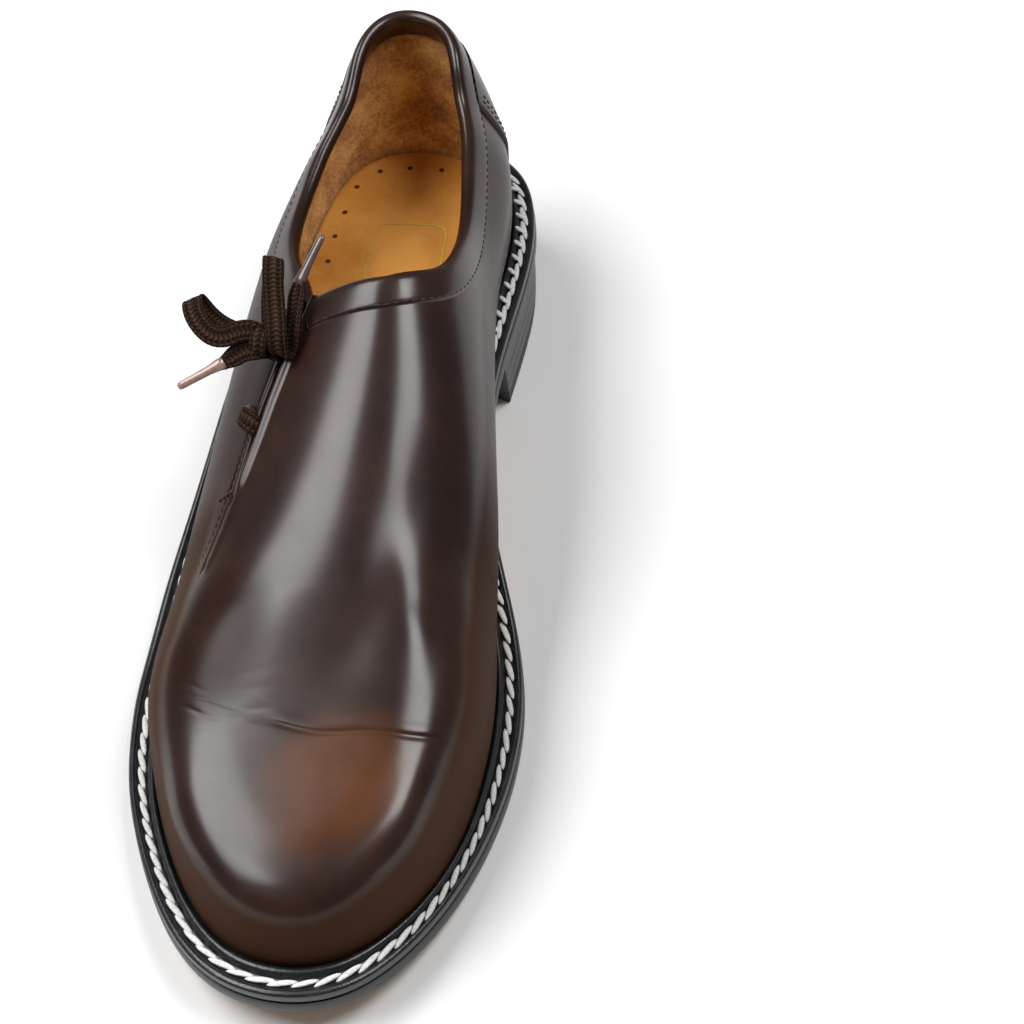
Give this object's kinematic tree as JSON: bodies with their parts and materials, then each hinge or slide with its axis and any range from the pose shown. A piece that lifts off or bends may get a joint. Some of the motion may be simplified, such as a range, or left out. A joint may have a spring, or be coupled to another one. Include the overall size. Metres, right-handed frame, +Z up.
{
  "type": "haferl shoe",
  "caption": "Low dark brown leather haferl shoe with a plain vamp, a lace and slit at the outer side, a black storm welt, a leather sole and a stacked heel.",
  "frame": {"origin": "on the floor under the middle of the shoe, measured without the bow", "axes": "+Z up, -Y towards the toe, +X towards the inner side of a right foot"},
  "size_m": [0.111, 0.302, 0.0995],
  "materials": {
    "upper": "polished dark brown calf leather",
    "insole": "smooth golden tan lining leather",
    "welt": "waxed black leather",
    "outsole": "matt natural tan sole leather",
    "heel_rubber": "matt black rubber",
    "eyelet": "brown lacquered metal",
    "lace": "flat brown mottled braid",
    "lace_tip": "thin glossy plastic film"
  },
  "bodies": {
    "root": {"upper": "upper", "collar_band": "upper", "counter": "upper", "tongue": "upper", "insole": "insole", "welt": "welt", "heel_stack": "welt", "outsole": "outsole", "heel_lift": "heel_rubber", "eyelet_top": "eyelet", "eyelet_low": "eyelet", "lace_bar_top": "lace", "lace_bar_low": "lace", "lace_knot": "lace", "lace_loop_up": "lace", "lace_loop_side": "lace", "lace_end_low": "lace", "lace_end_high": "lace", "lace_tip_low": "lace_tip", "lace_tip_high": "lace_tip"}
  },
  "joints": []
}
